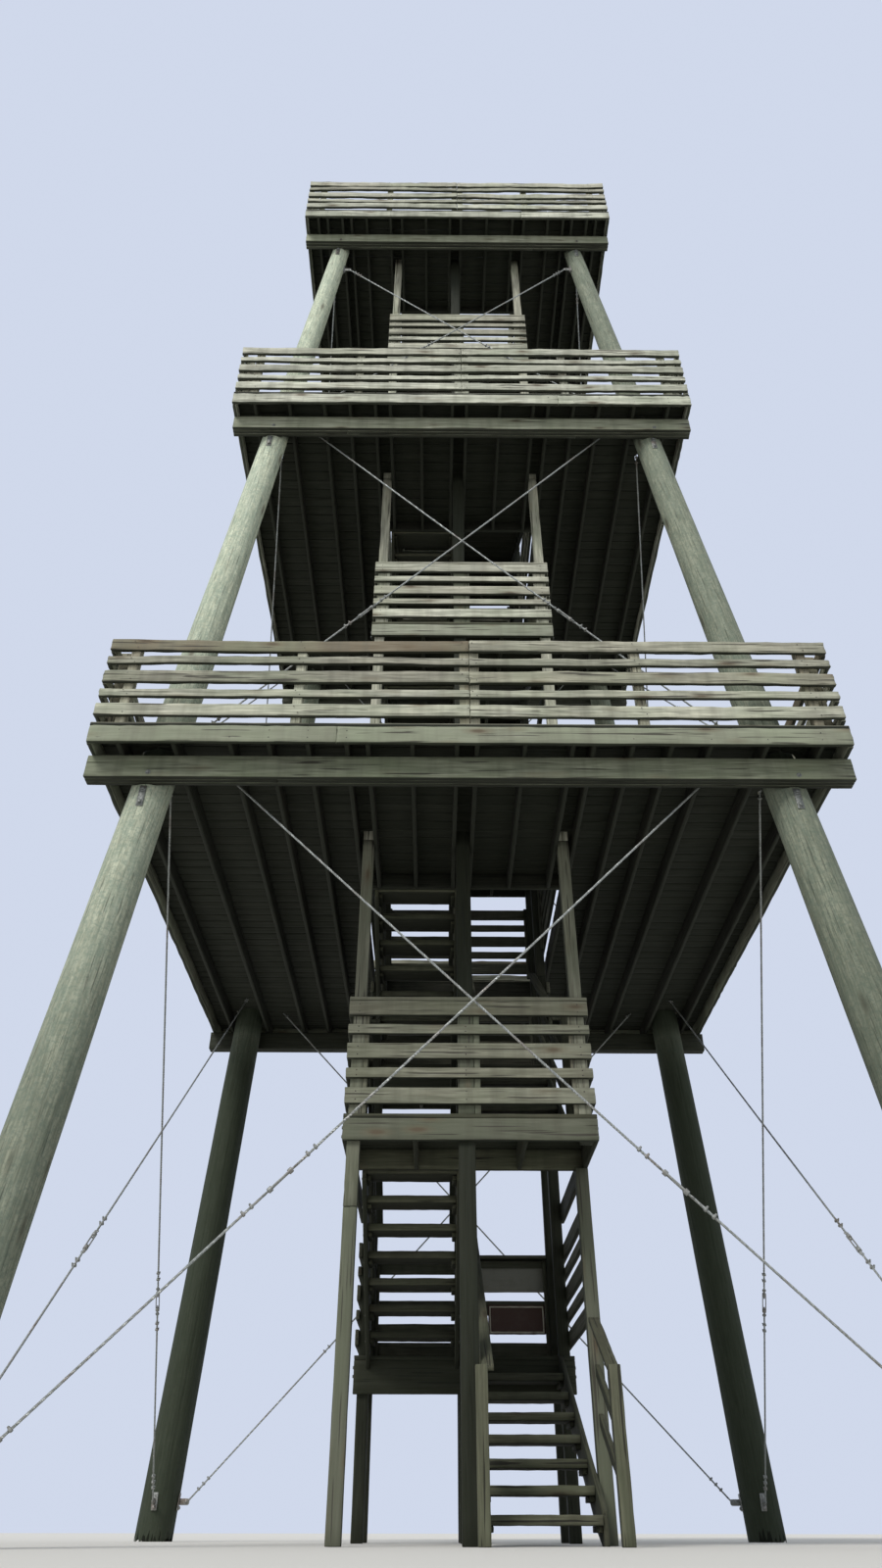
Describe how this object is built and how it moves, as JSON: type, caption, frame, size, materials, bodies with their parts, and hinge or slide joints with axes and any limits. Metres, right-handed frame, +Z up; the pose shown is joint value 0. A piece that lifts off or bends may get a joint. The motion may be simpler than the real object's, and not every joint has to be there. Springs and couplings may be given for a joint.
{
  "type": "timber observation tower, open fire lookout tower",
  "caption": "Tall open timber lookout tower: leaning round poles with crossed steel cables carry railed square decks round a zigzag stair.",
  "frame": {"origin": "centre of the tower's base, on the ground between the feet of the poles", "axes": "+Z up, the side with the stair's foot faces -Y, +X to the right of someone facing it"},
  "size_m": [7.0452, 7.0452, 18.8573],
  "materials": {
    "pole_timber": "weathered round pole, pale grey-green, with long checks",
    "beam_timber": "weathered heavy timber, greenish grey",
    "shaded_timber": "dark treated joists, never washed by rain",
    "deck_boards": "silvery grey-brown boards with knots and cracks",
    "stair_timber": "worn grey-brown treads, stringers and posts",
    "galvanised_steel": "dull galvanised cable, plates and straps",
    "notice_paint": "painted boards, left bare of words"
  },
  "bodies": {
    "root": {"pole_front_left": "pole_timber", "pole_front_right": "pole_timber", "pole_back_left": "pole_timber", "pole_back_right": "pole_timber", "main_beams_1": "beam_timber", "joists_1": "shaded_timber", "floor_1": "deck_boards", "rail_front_1": "deck_boards", "rail_back_1": "deck_boards", "rail_left_1": "deck_boards", "rail_right_1": "deck_boards", "flight_1_1": "stair_timber", "flight_1_2": "stair_timber", "flight_1_3": "stair_timber", "flight_1_4": "stair_timber", "landings_1": "stair_timber", "landing_rails_1": "deck_boards", "handrails_1": "stair_timber", "bracing_1": "galvanised_steel", "main_beams_2": "beam_timber", "joists_2": "shaded_timber", "floor_2": "deck_boards", "rail_front_2": "deck_boards", "rail_back_2": "deck_boards", "rail_left_2": "deck_boards", "rail_right_2": "deck_boards", "flight_2_1": "stair_timber", "flight_2_2": "stair_timber", "flight_2_3": "stair_timber", "flight_2_4": "stair_timber", "landings_2": "stair_timber", "landing_rails_2": "deck_boards", "handrails_2": "stair_timber", "bracing_2": "galvanised_steel", "main_beams_3": "beam_timber", "joists_3": "shaded_timber", "floor_3": "deck_boards", "rail_front_3": "deck_boards", "rail_back_3": "deck_boards", "rail_left_3": "deck_boards", "rail_right_3": "deck_boards", "flight_3_1": "stair_timber", "flight_3_2": "stair_timber", "flight_3_3": "stair_timber", "flight_3_4": "stair_timber", "landings_3": "stair_timber", "landing_rails_3": "deck_boards", "handrails_3": "stair_timber", "bracing_3": "galvanised_steel", "stair_posts": "stair_timber", "pole_straps": "galvanised_steel", "notice_boards": "notice_paint"}
  },
  "joints": []
}
